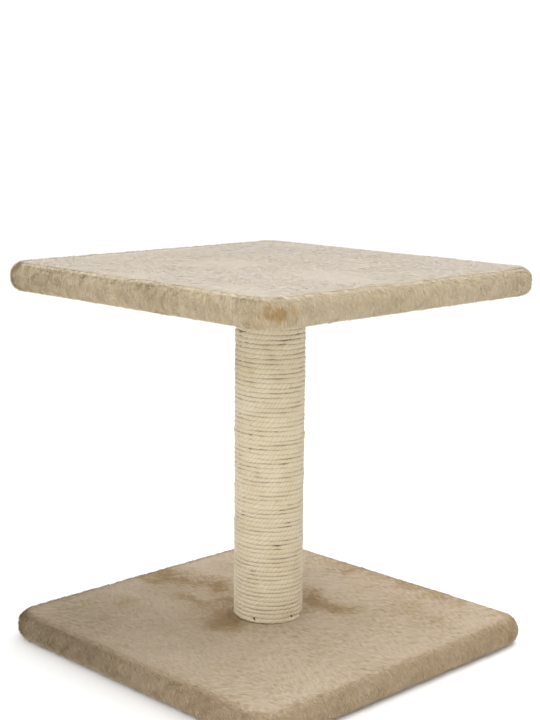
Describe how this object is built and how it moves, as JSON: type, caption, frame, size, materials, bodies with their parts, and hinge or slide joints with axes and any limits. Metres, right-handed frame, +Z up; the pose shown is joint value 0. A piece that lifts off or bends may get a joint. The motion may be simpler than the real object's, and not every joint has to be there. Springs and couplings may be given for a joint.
{
  "type": "cat tree",
  "caption": "Low cat tree: a plush-covered square board on an upright sisal-wound post, standing on an equal plush-covered base board.",
  "frame": {"origin": "on the floor under the middle of the base board, on the post's axis", "axes": "+Z up along the post; X and Y along the boards' sides"},
  "size_m": [0.3732, 0.3732, 0.3805],
  "materials": {
    "platform_plush": "short beige plush, soft matt pile",
    "base_plush": "short plush, a browner beige, matt pile",
    "sisal": "cream twisted plant-fibre rope, matt",
    "chipboard": "raw chipboard",
    "cardboard": "spiral-wound brown card",
    "turned_wood": "plain turned softwood",
    "non_woven": "thin pale non-woven sheet",
    "zinc_steel": "bright zinc plating",
    "dark_staple": "dull dark steel wire"
  },
  "bodies": {
    "root": {"base_cover": "base_plush", "top_cover": "platform_plush", "sisal_rope": "sisal", "base_board": "chipboard", "top_board": "chipboard", "post_tube": "cardboard", "bottom_plug": "turned_wood", "top_plug": "turned_wood", "base_liner": "non_woven", "top_liner": "non_woven", "bottom_insert": "zinc_steel", "top_insert": "zinc_steel", "base_bolt": "zinc_steel", "base_washer": "zinc_steel", "top_stud": "zinc_steel", "top_t_nut": "zinc_steel", "plug_pin_bottom_1": "zinc_steel", "plug_pin_bottom_2": "zinc_steel", "plug_pin_top_1": "zinc_steel", "plug_pin_top_2": "zinc_steel", "rope_staple_foot_1": "dark_staple", "rope_staple_foot_2": "dark_staple", "rope_staple_top": "dark_staple", "base_staple_01": "zinc_steel", "base_staple_02": "zinc_steel", "base_staple_03": "zinc_steel", "base_staple_04": "zinc_steel", "base_staple_05": "zinc_steel", "base_staple_06": "zinc_steel", "base_staple_07": "zinc_steel", "base_staple_08": "zinc_steel", "base_staple_09": "zinc_steel", "base_staple_10": "zinc_steel", "base_staple_11": "zinc_steel", "base_staple_12": "zinc_steel", "top_staple_01": "zinc_steel", "top_staple_02": "zinc_steel", "top_staple_03": "zinc_steel", "top_staple_04": "zinc_steel", "top_staple_05": "zinc_steel", "top_staple_06": "zinc_steel", "top_staple_07": "zinc_steel", "top_staple_08": "zinc_steel", "top_staple_09": "zinc_steel", "top_staple_10": "zinc_steel", "top_staple_11": "zinc_steel", "top_staple_12": "zinc_steel"}
  },
  "joints": []
}
